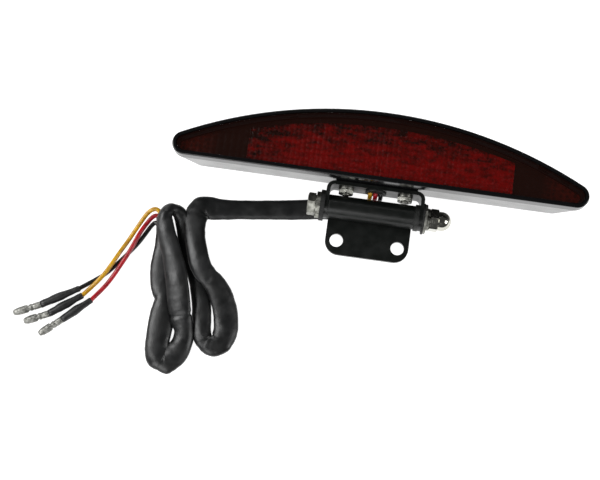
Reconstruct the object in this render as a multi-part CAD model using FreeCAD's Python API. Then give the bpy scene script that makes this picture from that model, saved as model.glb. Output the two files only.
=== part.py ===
import FreeCAD, Part
import math
import os

# Slim crescent tail light with a swivelling mounting plate, lying on its back.
# Millimetres. +X runs along the lamp, +Y towards its arched side, +Z out through the lens.
# The origin is on the bench, midway along the lamp, in the plane of its straight underside.

V = FreeCAD.Vector
Y_AXIS = V(0, 1, 0)
Z_AXIS = V(0, 0, 1)

# ---- driving dimensions: lamp ----
LAMP_LENGTH = 201.2
LAMP_HEIGHT = 34.4
LAMP_DEPTH = 28.0
TIP_RADIUS = 5.85
TAPER = 2.4
TIP_RAKE = 8.0
TAPER_TOP_Z = 22.0
WALL = 3.2
STEP_Z = 21.0
BACK_WALL = 2.6
LIP_WIDTH = 1.8
LIP_ROUND = 0.6
BACK_ROUND = 2.8
PAD_END_MARGIN = 4.0
PAD_SIDE_MARGIN = 0.4
LENS_SEAT_Z = 23.4
SEAL_HEIGHT = 0.8
LENS_FRONT_Z = 27.6
LENS_FIT = 0.1
LENS_EDGE_ROUND = 0.5

# ---- driving dimensions: inside the lamp ----
BOARD_Z = 9.0
BOARD_THICKNESS = 1.6
BOARD_INSET = 5.5
BOARD_HALF_LENGTH = 76.0
POST_RADIUS = 3.0
POST_HOLE_RADIUS = 1.25
POSTS = [(-70.0, 11.0), (0.0, 26.8), (70.0, 11.0)]
TRAY_HALF_LENGTH = 64.5
TRAY_BOTTOM_Y = 4.6
TRAY_SIDE_Y = 17.0
TRAY_CROWN_Y = 23.6
TRAY_BACK_Z = 13.2
TRAY_FLOOR = 1.4
TRAY_FRONT_Z = 19.6
CELL_PITCH = 9.2
CELL_RIB = 0.8
LED_RADIUS = 2.5
LED_FLANGE_RADIUS = 2.9
LED_FLANGE = 1.0
LED_HEIGHT = 8.6
LED_CLEARANCE = 0.25
LOWER_ROW_Y = 9.3
UPPER_ROW_Y = 17.4
LOWER_ROW_COUNT = 13
UPPER_ROW_COUNT = 7
RESISTOR_RADIUS = 1.2
RESISTOR_LENGTH = 6.4
RESISTOR_PLACES = [(x, 10.0) for x in (-52, -32, -12, 12, 32, 52)]
DIODE_RADIUS = 1.35
DIODE_LENGTH = 5.2
DIODE_PLACES = [(-22, 16.5), (22, 16.5)]
SCREW_HEAD_RADIUS = 2.6
SCREW_HEAD = 1.8
SCREW_HEAD_ROUND = 0.7
SCREW_GRIP = 4.0

# ---- driving dimensions: bracket and pivot ----
AXIS_DROP = 11.8
AXIS_Z = 11.8
SHEET = 1.8
CLEVIS_WIDTH = 48.0
STRIP_WIDTH = 12.4
BEND_RADIUS = 4.0
EAR_HOLE_RADIUS = 3.2
STUD_SPACING = 29.0
STUD_RADIUS = 2.0
STUD_HOLE_PLAY = 0.2
STUD_HEAD_RADIUS = 3.5
STUD_HEAD = 1.2
STUD_END_Y = -5.4
STUD_NUT_FLATS = 7.0
STUD_NUT_HEIGHT = 2.2
LOCK_WASHER = 0.9
LOCK_WASHER_RADIUS = 3.8
TUBE_RADIUS = 5.8
TUBE_LENGTH = 41.0
TUBE_CENTRE_X = -1.0
PLATE_REACH = 22.6
PLATE_CORNER = 7.0
PLATE_HOLE_RADIUS = 3.3
PLATE_HOLE_SPACING = 30.0
PLATE_HOLE_DROP = 15.5
BUSH_FLANGE = 0.65
BUSH_SLEEVE = 12.0
BUSH_BORE_RADIUS = 3.05
END_PLAY = 0.05
BOLT_RADIUS = 3.0
BOLT_LENGTH = 60.0
BOLT_HEAD = 4.2
HEAD_COLLAR = 0.4
HEAD_COLLAR_RADIUS = 4.7
M6_FLATS = 10.0
HEX_TURN_IN = 0.04
BLACK_WASHER_RADIUS = 7.6
BLACK_WASHER_LEFT = 2.2
BLACK_WASHER_RIGHT = 0.8
STEEL_WASHER_RADIUS = 6.5
STEEL_WASHER_RIGHT_RADIUS = 7.2
STEEL_WASHER_LEFT = 2.0
STEEL_WASHER_RIGHT = 1.2
WASHER_BORE_RADIUS = 3.2
SPRING_WASHER = 1.4
SPRING_WASHER_RADIUS = 5.4
SPRING_WASHER_SLIT = 0.8
CAP_HEX = 4.6
CAP_DOME_RADIUS = 4.7
CAP_NUT_LENGTH = 10.8
CAP_NUT_DEPTH = 7.0

# ---- driving dimensions: cable ----
GROMMET_RADIUS = 4.0
GROMMET_FLANGE_RADIUS = 5.2
GROMMET_FLANGE = 0.8
LEAD_RADIUS = 1.1
LEAD_PITCH = 2.6
LEAD_START_Y = 6.0
LEAD_DROP_Y = -4.2
LEAD_DROP_Z = 5.6
LEAD_LAND_Z = 2.2
SLEEVE_WIDTH = 10.4
SLEEVE_THICKNESS = 4.0
SLEEVE_MOUTH = V(-9.0, -10.4, 2.0)
HANK_HEIGHT = 12.5
HANK_CORNER = 1.6
HANK_JOIN_ABOVE = 6.0
HANK_JOIN_BELOW = 7.5
BOOT_RADIUS = 2.1
BOOT_WIRE_END_RADIUS = 1.45
BOOT_BULLET_END_RADIUS = 1.85
BULLET_RADIUS = 1.95
BULLET_COLLAR_RADIUS = 1.75
BULLET_GROOVE_RADIUS = 1.35
BULLET_TIP_RADIUS = 1.2

# ---- sizes worked out from those ----
HALF_LENGTH = LAMP_LENGTH / 2
TIP_X = HALF_LENGTH - TIP_RADIUS
ARCH_RADIUS = (TIP_X ** 2 + LAMP_HEIGHT ** 2 - 2 * TIP_RADIUS * LAMP_HEIGHT) \
    / (2 * LAMP_HEIGHT - 4 * TIP_RADIUS)
ARCH_Y = LAMP_HEIGHT - ARCH_RADIUS
AXIS_Y = -AXIS_DROP
PIVOT = V(0, AXIS_Y, AXIS_Z)
EAR_OUT = CLEVIS_WIDTH / 2
EAR_IN = EAR_OUT - SHEET
TUBE_LEFT = TUBE_CENTRE_X - TUBE_LENGTH / 2
TUBE_RIGHT = TUBE_CENTRE_X + TUBE_LENGTH / 2
TUBE_BORE_RADIUS = TUBE_RADIUS - SHEET
BOARD_TOP_Z = BOARD_Z + BOARD_THICKNESS


def crescent_edges(inset, z, shorten=0):
    """The lamp's outline moved in by inset: straight underside, two tip arcs and the arch.

    Shorten also draws the tip arcs in; they stay tangent to the underside and the arch.
    """
    tip_x = TIP_X - shorten
    tip_y = (ARCH_RADIUS ** 2 - ARCH_Y ** 2 - tip_x ** 2) / (2 * LAMP_HEIGHT - 4 * ARCH_Y)
    tip = tip_y - inset
    centre = V(tip_x, tip_y, z)
    away = (centre - V(0, ARCH_Y, z)).normalize()
    join_angle = math.atan2(away.y, away.x)
    mid_angle = (join_angle - math.pi / 2) / 2
    low = V(tip_x, inset, z)
    mid = centre + V(math.cos(mid_angle), math.sin(mid_angle), 0) * tip
    high = centre + away * tip
    crown = V(0, LAMP_HEIGHT - inset, z)

    def mirrored(p):
        return V(-p.x, p.y, p.z)

    return [
        Part.LineSegment(mirrored(low), low).toShape(),
        Part.Arc(low, mid, high).toShape(),
        Part.Arc(high, crown, mirrored(high)).toShape(),
        Part.Arc(mirrored(high), mirrored(mid), mirrored(low)).toShape(),
    ]


def crescent(inset, low_z, high_z):
    """A solid with the lamp's outline moved in by inset, between two heights."""
    face = Part.Face(Part.Wire(crescent_edges(inset, low_z)))
    return face.extrude(V(0, 0, high_z - low_z))


def tapered(margin, low_z, high_z):
    """A solid inside the lamp's tapered sides by margin, between two heights of the taper."""
    wires = []
    for z in (low_z, high_z):
        share = 1 - z / TAPER_TOP_Z
        wires.append(Part.Wire(crescent_edges(TAPER * share + margin, z, TIP_RAKE * share)))
    return Part.makeLoft(wires, True, True)


def box(low, high):
    """A box between two opposite corners."""
    size = high - low
    return Part.makeBox(size.x, size.y, size.z, low)


def rod(radius, start, end):
    """A round bar between two points."""
    along = end - start
    return Part.makeCylinder(radius, along.Length, start, along)


def ring(radius, bore, start, end):
    """A washer or bush between two points on its axis."""
    return rod(radius, start, end).cut(rod(bore, start, end))


def on_axis(x):
    """The point of the pivot axis at x."""
    return V(x, AXIS_Y, AXIS_Z)


def hexagon(flats, start, end):
    """A hexagonal prism between two points, with a corner facing up."""
    along = end - start
    corner = flats / math.sqrt(3)
    side = Z_AXIS.cross(along).normalize()
    points = []
    for step in range(7):
        angle = math.radians(60 * step)
        points.append(start + Z_AXIS * (corner * math.cos(angle)) + side * (corner * math.sin(angle)))
    return Part.Face(Part.makePolygon(points)).extrude(along)


def bolt_hexagon(flats, start, end, turned_ends):
    """A hexagon whose corners are turned off at 30 degrees at the ends named in turned_ends."""
    length = (end - start).Length
    inner = flats * (0.5 - HEX_TURN_IN / 2)
    outer = inner + length * math.sqrt(3)
    body = hexagon(flats, start, end)
    if "start" in turned_ends:
        body = body.common(Part.makeCone(inner, outer, length, start, end - start))
    if "end" in turned_ends:
        body = body.common(Part.makeCone(inner, outer, length, end, start - end))
    return body


def edges_where(shape, test):
    """The edges of a shape whose centre of mass passes a test."""
    return [edge for edge in shape.Edges if test(edge.CenterOfMass, edge.BoundBox)]


def flat_at(z):
    """A test for edges that lie at one height."""
    return lambda centre, bounds: abs(bounds.ZMin - z) < 0.01 and abs(bounds.ZMax - z) < 0.01


# ---- lamp ----

def pad_box(near_y, far_y):
    """The stretch of the lamp's straight side behind the clevis web, between two depths."""
    x = EAR_OUT - PAD_END_MARGIN
    z = STRIP_WIDTH / 2 - PAD_SIDE_MARGIN
    return box(V(-x, near_y, AXIS_Z - z), V(x, far_y, AXIS_Z + z))


def make_housing():
    """Moulded shell: tapered sides, rounded back, lip for the lens, pad for the clevis, board posts."""
    shell = tapered(0, 0, TAPER_TOP_Z).fuse(crescent(0, TAPER_TOP_Z, LAMP_DEPTH))
    shell = shell.makeFillet(BACK_ROUND, edges_where(shell, flat_at(0)))
    shell = shell.makeFillet(LIP_ROUND, edges_where(shell, flat_at(LAMP_DEPTH)))
    shell = shell.fuse(pad_box(0, 2 * WALL))
    shell = shell.cut(tapered(WALL, BACK_WALL, STEP_Z))
    shell = shell.cut(crescent(WALL, STEP_Z, LENS_SEAT_Z))
    shell = shell.cut(pad_box(WALL, 2 * WALL))
    shell = shell.cut(crescent(LIP_WIDTH, LENS_SEAT_Z, LAMP_DEPTH))
    for x, y in POSTS:
        post = rod(POST_RADIUS, V(x, y, BACK_WALL), V(x, y, BOARD_Z))
        pilot = rod(POST_HOLE_RADIUS, V(x, y, BACK_WALL + 1), V(x, y, BOARD_Z))
        shell = shell.fuse(post).cut(pilot)
    for x in (-STUD_SPACING / 2, STUD_SPACING / 2):
        shell = shell.cut(rod(STUD_RADIUS, V(x, -1, AXIS_Z), V(x, WALL + 1, AXIS_Z)))
    return shell.cut(rod(GROMMET_RADIUS, V(0, -1, AXIS_Z), V(0, WALL + 1, AXIS_Z))).removeSplitter()


def make_lens():
    """Flat-faced lens that fills the lip."""
    lens = crescent(LIP_WIDTH + LENS_FIT, LENS_SEAT_Z + SEAL_HEIGHT, LENS_FRONT_Z)
    return lens.makeFillet(LENS_EDGE_ROUND, edges_where(lens, flat_at(LENS_FRONT_Z)))


def make_lens_seal():
    """Flat gasket between the ledge and the lens."""
    outer = crescent(LIP_WIDTH + LENS_FIT, LENS_SEAT_Z, LENS_SEAT_Z + SEAL_HEIGHT)
    return outer.cut(crescent(WALL, LENS_SEAT_Z, LENS_SEAT_Z + SEAL_HEIGHT))


def led_places():
    """Centres of the LEDs: a long lower row and a short upper row."""
    places = []
    for count, y in ((LOWER_ROW_COUNT, LOWER_ROW_Y), (UPPER_ROW_COUNT, UPPER_ROW_Y)):
        for index in range(count):
            places.append(((index - (count - 1) / 2) * CELL_PITCH, y))
    return places


def tray_outline(inset, low_z, high_z):
    """The reflector tray's outline: flat bottom, upright ends and a shallow crown."""
    x = TRAY_HALF_LENGTH - inset
    y = TRAY_BOTTOM_Y + inset
    side_y = TRAY_SIDE_Y - inset
    crown = V(0, TRAY_CROWN_Y - inset, low_z)
    edges = [
        Part.LineSegment(V(-x, y, low_z), V(x, y, low_z)).toShape(),
        Part.LineSegment(V(x, y, low_z), V(x, side_y, low_z)).toShape(),
        Part.Arc(V(x, side_y, low_z), crown, V(-x, side_y, low_z)).toShape(),
        Part.LineSegment(V(-x, side_y, low_z), V(-x, y, low_z)).toShape(),
    ]
    return Part.Face(Part.Wire(edges)).extrude(V(0, 0, high_z - low_z))


def make_reflector_tray():
    """Tray of open cells, with a hole for each LED."""
    tray = tray_outline(0, TRAY_BACK_Z, TRAY_FRONT_Z)
    room = tray_outline(CELL_RIB, TRAY_BACK_Z + TRAY_FLOOR, TRAY_FRONT_Z)
    rib_y = (LOWER_ROW_Y + UPPER_ROW_Y) / 2
    ribs = [box(V(-TRAY_HALF_LENGTH, rib_y - CELL_RIB / 2, TRAY_BACK_Z),
                V(TRAY_HALF_LENGTH, rib_y + CELL_RIB / 2, TRAY_FRONT_Z))]
    for index in range(LOWER_ROW_COUNT + 1):
        x = (index - LOWER_ROW_COUNT / 2) * CELL_PITCH
        ribs.append(box(V(x - CELL_RIB / 2, 0, TRAY_BACK_Z), V(x + CELL_RIB / 2, LAMP_HEIGHT, TRAY_FRONT_Z)))
    tray = tray.cut(room.cut(Part.makeCompound(ribs)))
    hole = LED_RADIUS + LED_CLEARANCE
    for x, y in led_places():
        tray = tray.cut(rod(hole, V(x, y, TRAY_BACK_Z), V(x, y, TRAY_BACK_Z + TRAY_FLOOR)))
    return tray


def make_circuit_board():
    """Board cut to the crescent, squared off at both ends, drilled for its screws."""
    board = crescent(BOARD_INSET, BOARD_Z, BOARD_TOP_Z)
    trim = box(V(-BOARD_HALF_LENGTH, 0, BOARD_Z), V(BOARD_HALF_LENGTH, LAMP_HEIGHT, BOARD_TOP_Z))
    board = board.common(trim)
    for x, y in POSTS:
        board = board.cut(rod(POST_HOLE_RADIUS, V(x, y, BOARD_Z), V(x, y, BOARD_TOP_Z)))
    return board


def make_led(x, y):
    """A 5 mm LED: flange, barrel and dome."""
    flange = rod(LED_FLANGE_RADIUS, V(x, y, BOARD_TOP_Z), V(x, y, BOARD_TOP_Z + LED_FLANGE))
    dome_z = BOARD_TOP_Z + LED_HEIGHT - LED_RADIUS
    barrel = rod(LED_RADIUS, V(x, y, BOARD_TOP_Z), V(x, y, dome_z))
    return flange.fuse(barrel).fuse(Part.makeSphere(LED_RADIUS, V(x, y, dome_z))).removeSplitter()


def make_board_screws():
    """Pan-head screws that hold the board to its posts."""
    screws = []
    for x, y in POSTS:
        shank = rod(POST_HOLE_RADIUS, V(x, y, BOARD_Z - SCREW_GRIP), V(x, y, BOARD_TOP_Z))
        head_z = BOARD_TOP_Z + SCREW_HEAD
        head = rod(SCREW_HEAD_RADIUS, V(x, y, BOARD_TOP_Z), V(x, y, head_z))
        head = head.makeFillet(SCREW_HEAD_ROUND, edges_where(head, flat_at(head_z)))
        screws.append(shank.fuse(head).removeSplitter())
    return Part.makeCompound(screws)


def make_back_parts(places, radius, length):
    """Small round components that lie along X against the back of the board."""
    parts = []
    for x, y in places:
        z = BOARD_Z - radius
        parts.append(rod(radius, V(x - length / 2, y, z), V(x + length / 2, y, z)))
    return Part.makeCompound(parts)


# ---- bracket ----

def make_clevis():
    """U of sheet steel: web against the lamp, two ears with rounded ends on the pivot axis."""
    low_z = AXIS_Z - STRIP_WIDTH / 2
    high_z = AXIS_Z + STRIP_WIDTH / 2
    outer = box(V(-EAR_OUT, AXIS_Y, low_z), V(EAR_OUT, 0, high_z))
    inner = box(V(-EAR_IN, AXIS_Y, low_z), V(EAR_IN, -SHEET, high_z))
    outer = outer.makeFillet(BEND_RADIUS, edges_where(
        outer, lambda centre, bounds: centre.y > -0.01 and abs(centre.x) > EAR_OUT - 0.01))
    inner = inner.makeFillet(BEND_RADIUS - SHEET, edges_where(
        inner, lambda centre, bounds: centre.y > -SHEET - 0.01 and abs(centre.x) > EAR_IN - 0.01))
    clevis = outer.cut(inner)
    for inside, outside in ((-EAR_IN, -EAR_OUT), (EAR_IN, EAR_OUT)):
        clevis = clevis.fuse(rod(STRIP_WIDTH / 2, on_axis(inside), on_axis(outside)))
    clevis = clevis.cut(rod(EAR_HOLE_RADIUS, on_axis(-EAR_OUT - 1), on_axis(EAR_OUT + 1)))
    for x in (-STUD_SPACING / 2, STUD_SPACING / 2):
        clevis = clevis.cut(rod(STUD_RADIUS + STUD_HOLE_PLAY, V(x, -SHEET - 1, AXIS_Z), V(x, 1, AXIS_Z)))
    clevis = clevis.cut(rod(GROMMET_RADIUS, V(0, -SHEET - 1, AXIS_Z), V(0, 1, AXIS_Z)))
    return clevis.removeSplitter()


def make_studs():
    """Captive studs: head inside the lamp, threaded end through the clevis."""
    studs = []
    for x in (-STUD_SPACING / 2, STUD_SPACING / 2):
        head = rod(STUD_HEAD_RADIUS, V(x, WALL + STUD_HEAD, AXIS_Z), V(x, WALL, AXIS_Z))
        shank = rod(STUD_RADIUS, V(x, WALL, AXIS_Z), V(x, STUD_END_Y, AXIS_Z))
        studs.append(head.fuse(shank).removeSplitter())
    return Part.makeCompound(studs)


def make_stud_washers():
    """Lock washers under the stud nuts."""
    washers = []
    for x in (-STUD_SPACING / 2, STUD_SPACING / 2):
        face = V(x, -SHEET, AXIS_Z)
        washers.append(ring(LOCK_WASHER_RADIUS, STUD_RADIUS, face, face - V(0, LOCK_WASHER, 0)))
    return Part.makeCompound(washers)


def make_stud_nuts():
    """Hexagon nuts on the studs."""
    nuts = []
    for x in (-STUD_SPACING / 2, STUD_SPACING / 2):
        face = V(x, -SHEET - LOCK_WASHER, AXIS_Z)
        end = face - V(0, STUD_NUT_HEIGHT, 0)
        nut = bolt_hexagon(STUD_NUT_FLATS, face, end, ("start", "end"))
        nuts.append(nut.cut(rod(STUD_RADIUS, face, end)))
    return Part.makeCompound(nuts)


def make_mount_plate():
    """Sheet rolled into a tube round the pivot, its flat tail drilled for two bolts."""
    back_z = AXIS_Z - TUBE_RADIUS
    end_y = AXIS_Y - PLATE_REACH
    tail = box(V(TUBE_LEFT, end_y, back_z), V(TUBE_RIGHT, AXIS_Y, back_z + SHEET))
    tail = tail.makeFillet(PLATE_CORNER, edges_where(
        tail, lambda centre, bounds: centre.y < end_y + 0.01 and bounds.ZLength > SHEET / 2))
    plate = tail.fuse(rod(TUBE_RADIUS, on_axis(TUBE_LEFT), on_axis(TUBE_RIGHT)))
    plate = plate.cut(rod(TUBE_BORE_RADIUS, on_axis(TUBE_LEFT), on_axis(TUBE_RIGHT)))
    for side in (-1, 1):
        hole = V(TUBE_CENTRE_X + side * PLATE_HOLE_SPACING / 2, AXIS_Y - PLATE_HOLE_DROP, back_z)
        plate = plate.cut(rod(PLATE_HOLE_RADIUS, hole, hole + V(0, 0, SHEET)))
    return plate.removeSplitter()


def make_bush(end_x, inward):
    """Flanged bush pushed into one end of the rolled tube."""
    flange = ring(TUBE_RADIUS, BUSH_BORE_RADIUS, on_axis(end_x - inward * BUSH_FLANGE), on_axis(end_x))
    sleeve = ring(TUBE_BORE_RADIUS, BUSH_BORE_RADIUS, on_axis(end_x), on_axis(end_x + inward * BUSH_SLEEVE))
    return flange.fuse(sleeve).removeSplitter()


def make_pivot_bolt(seat_x):
    """Hexagon bolt whose head bears on the washers at seat_x."""
    collar = rod(HEAD_COLLAR_RADIUS, on_axis(seat_x), on_axis(seat_x - HEAD_COLLAR))
    head_start = on_axis(seat_x - HEAD_COLLAR)
    head = bolt_hexagon(M6_FLATS, head_start, on_axis(seat_x - BOLT_HEAD), ("end",))
    shank = rod(BOLT_RADIUS, on_axis(seat_x), on_axis(seat_x + BOLT_LENGTH))
    return head.fuse(collar).fuse(shank).removeSplitter()


def make_spring_washer(start_x):
    """Split ring."""
    washer = ring(SPRING_WASHER_RADIUS, WASHER_BORE_RADIUS, on_axis(start_x), on_axis(start_x + SPRING_WASHER))
    slit = box(V(start_x, AXIS_Y - SPRING_WASHER_SLIT / 2, AXIS_Z),
               V(start_x + SPRING_WASHER, AXIS_Y + SPRING_WASHER_SLIT / 2, AXIS_Z + SPRING_WASHER_RADIUS + 1))
    return washer.cut(slit)


def make_cap_nut(start_x):
    """Domed cap nut with a blind hole."""
    hexagon_end = start_x + CAP_HEX
    dome_x = start_x + CAP_NUT_LENGTH - CAP_DOME_RADIUS
    nut = bolt_hexagon(M6_FLATS, on_axis(start_x), on_axis(hexagon_end), ("start", "end"))
    nut = nut.fuse(rod(CAP_DOME_RADIUS, on_axis(start_x + CAP_HEX / 2), on_axis(dome_x)))
    nut = nut.fuse(Part.makeSphere(CAP_DOME_RADIUS, on_axis(dome_x)))
    nut = nut.cut(rod(BOLT_RADIUS, on_axis(start_x), on_axis(start_x + CAP_NUT_DEPTH)))
    return nut.removeSplitter()


# ---- cable ----

def route_wire(name, points):
    """Straight runs joined by tangent arcs, each as large as its two runs allow."""
    edges = []
    radii = []
    here = points[0]
    for before, corner, after in zip(points, points[1:], points[2:]):
        into = corner - before
        out = after - corner
        turn = into.getAngle(out)
        cut_back = 0.45 * min(into.Length, out.Length)
        arc_start = corner - V(into).normalize() * cut_back
        arc_end = corner + V(out).normalize() * cut_back
        radius = cut_back / math.tan(turn / 2)
        centre_side = ((arc_start + arc_end) * 0.5 - corner).normalize()
        centre = corner + centre_side * math.hypot(radius, cut_back)
        middle = centre - centre_side * radius
        edges.append(Part.LineSegment(here, arc_start).toShape())
        edges.append(Part.Arc(arc_start, middle, arc_end).toShape())
        radii.append(round(radius, 1))
        here = arc_end
    edges.append(Part.LineSegment(here, points[-1]).toShape())
    wire = Part.Wire(edges)
    print(name, "length", round(wire.Length, 1), "radii", radii)
    return wire


def round_tube(name, radius, points):
    """A round cable along a route."""
    path = route_wire(name, points)
    profile = Part.Wire(Part.Circle(points[0], points[1] - points[0], radius).toShape())
    tube = path.makePipeShell([profile], True, False)
    print(name, "volume ratio", round(tube.Volume / (math.pi * radius ** 2 * path.Length), 4))
    return tube


def flat_tube(name, points):
    """The flattened sleeve along a route that lies level: an ellipse, wide side down."""
    path = route_wire(name, points)
    along = (points[1] - points[0]).normalize()
    across = Z_AXIS.cross(along).normalize()
    half_width = SLEEVE_WIDTH / 2
    half_thickness = SLEEVE_THICKNESS / 2
    ellipse = Part.Ellipse(points[0] + across * half_width, points[0] + along.cross(across) * half_thickness,
                           points[0])
    tube = path.makePipeShell([Part.Wire(ellipse.toShape())], True, False)
    print(name, "volume ratio", round(tube.Volume / (math.pi * half_width * half_thickness * path.Length), 4))
    return tube


def make_grommet():
    """Rubber grommet with a flange on both sides and three tight holes in a row."""
    outside = V(0, -SHEET - GROMMET_FLANGE, AXIS_Z)
    inside = V(0, WALL + GROMMET_FLANGE, AXIS_Z)
    grommet = rod(GROMMET_RADIUS, outside, inside)
    grommet = grommet.fuse(rod(GROMMET_FLANGE_RADIUS, outside, V(0, -SHEET, AXIS_Z)))
    grommet = grommet.fuse(rod(GROMMET_FLANGE_RADIUS, V(0, WALL, AXIS_Z), inside))
    for index in (-1, 0, 1):
        x = index * LEAD_PITCH
        grommet = grommet.cut(rod(LEAD_RADIUS, V(x, -SHEET - 2, AXIS_Z), V(x, WALL + 2, AXIS_Z)))
    return grommet.removeSplitter()


def lead_route(index):
    """From the board through the grommet, down behind the tube and slantwise into the sleeve's mouth."""
    x = index * LEAD_PITCH
    sleeve_y = SLEEVE_MOUTH.y - index * LEAD_PITCH
    return [
        V(x, LEAD_START_Y, AXIS_Z),
        V(x, LEAD_DROP_Y, AXIS_Z),
        V(x, LEAD_DROP_Y, LEAD_DROP_Z),
        V(x - 1.2, LEAD_DROP_Y - 2.2 - 0.9 * index, LEAD_LAND_Z),
        V(-4.6 + 2 * index, sleeve_y + 0.3, SLEEVE_MOUTH.z),
        V(SLEEVE_MOUTH.x, sleeve_y, SLEEVE_MOUTH.z),
    ]


SLEEVE_ROUTE = [
    SLEEVE_MOUTH,
    V(-20.0, -10.4, 2.0),
    V(-36.0, -13.4, 2.0),
    V(-51.0, -15.6, 2.0),
    V(-65.0, -17.4, 2.0),
    V(-78.6, -19.6, 2.0),
]

HANK_OUTLINE = [
    V(-85.0, -14.6, 0),
    V(-93.0, -22.0, 0),
    V(-105.0, -20.5, 0),
    V(-106.5, -49.0, 0),
    V(-102.0, -84.0, 0),
    V(-96.5, -96.0, 0),
    V(-89.0, -103.0, 0),
    V(-82.5, -96.5, 0),
    V(-77.8, -88.5, 0),
    V(-71.5, -91.0, 0),
    V(-60.0, -90.0, 0),
    V(-56.0, -83.5, 0),
    V(-60.5, -66.5, 0),
    V(-71.0, -51.0, 0),
]

WIRE_ROUTES = {
    "yellow": [
        V(-105.1, -23.5, 6.4),
        V(-107.6, -23.8, 6.2),
        V(-109.9, -25.7, 5.4),
        V(-112.3, -30.0, 3.9),
        V(-114.9, -34.9, 2.6),
        V(-117.8, -41.0, 1.8),
        V(-120.6, -46.9, 2.6),
        V(-123.0, -52.8, 3.7),
        V(-125.5, -58.0, 3.8),
        V(-128.3, -62.4, 3.6),
        V(-131.9, -66.6, 2.0),
        V(-135.4, -70.9, 2.1),
    ],
    "red": [
        V(-105.3, -25.0, 3.8),
        V(-107.5, -26.9, 3.4),
        V(-110.0, -30.9, 2.6),
        V(-112.4, -36.3, 3.5),
        V(-114.5, -42.8, 3.9),
        V(-116.7, -48.6, 3.9),
        V(-119.3, -54.0, 3.4),
        V(-122.2, -59.6, 1.7),
        V(-126.0, -66.1, 1.2),
        V(-130.7, -72.5, 2.1),
    ],
    "black": [
        V(-105.4, -28.2, 1.4),
        V(-107.4, -31.2, 1.2),
        V(-109.8, -35.6, 1.2),
        V(-112.8, -41.4, 1.2),
        V(-117.0, -47.2, 1.2),
        V(-121.3, -52.9, 1.2),
        V(-125.4, -58.0, 1.2),
        V(-130.4, -62.2, 1.2),
        V(-137.5, -67.7, 2.1),
    ],
}

BOOT_ENDS = {
    "yellow": V(-149.8, -81.9, 2.1),
    "red": V(-143.0, -83.9, 2.1),
    "black": V(-154.4, -78.0, 2.1),
}

BULLET_ENDS = {
    "yellow": V(-161.2, -87.4, 1.95),
    "red": V(-152.8, -92.4, 1.95),
    "black": V(-167.0, -84.0, 1.95),
}


def make_hank():
    """The folded bundle as one closed block with its outer shape, square to the sleeve's end."""
    end = V(SLEEVE_ROUTE[-1].x, SLEEVE_ROUTE[-1].y, 0)
    across = (SLEEVE_ROUTE[-1] - SLEEVE_ROUTE[-2]).cross(Z_AXIS).normalize()
    first = end + across * HANK_JOIN_ABOVE
    last = end - across * HANK_JOIN_BELOW
    base = Part.Face(Part.makePolygon([first] + HANK_OUTLINE + [last, first]))
    block = base.extrude(V(0, 0, HANK_HEIGHT))
    return block.makeFillet(HANK_CORNER, edges_where(block, flat_at(HANK_HEIGHT)))


def turned(outline, start, end):
    """A turned piece: (radius, share of the length) pairs revolved about the line between two points."""
    length = (end - start).Length
    points = [V(0, 0, 0)]
    points += [V(radius, 0, share * length) for radius, share in outline]
    points += [V(0, 0, length), V(0, 0, 0)]
    solid = Part.Face(Part.makePolygon(points)).revolve(V(0, 0, 0), Z_AXIS, 360)
    solid.Placement = FreeCAD.Placement(start, FreeCAD.Rotation(Z_AXIS, end - start))
    return solid


def make_boot(start, end):
    """Shrink boot: slim on the wire, fullest over the crimp."""
    outline = [(BOOT_WIRE_END_RADIUS, 0), (BOOT_RADIUS, 0.5), (BOOT_RADIUS, 0.7), (BOOT_BULLET_END_RADIUS, 1)]
    return turned(outline, start, end)


def make_bullet(start, end):
    """Bullet connector: collar, groove, barrel and narrowed tip."""
    outline = [(BULLET_COLLAR_RADIUS, 0), (BULLET_COLLAR_RADIUS, 0.36),
               (BULLET_GROOVE_RADIUS, 0.4), (BULLET_GROOVE_RADIUS, 0.46),
               (BULLET_RADIUS, 0.5), (BULLET_RADIUS, 0.86), (BULLET_TIP_RADIUS, 1)]
    return turned(outline, start, end)


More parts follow.
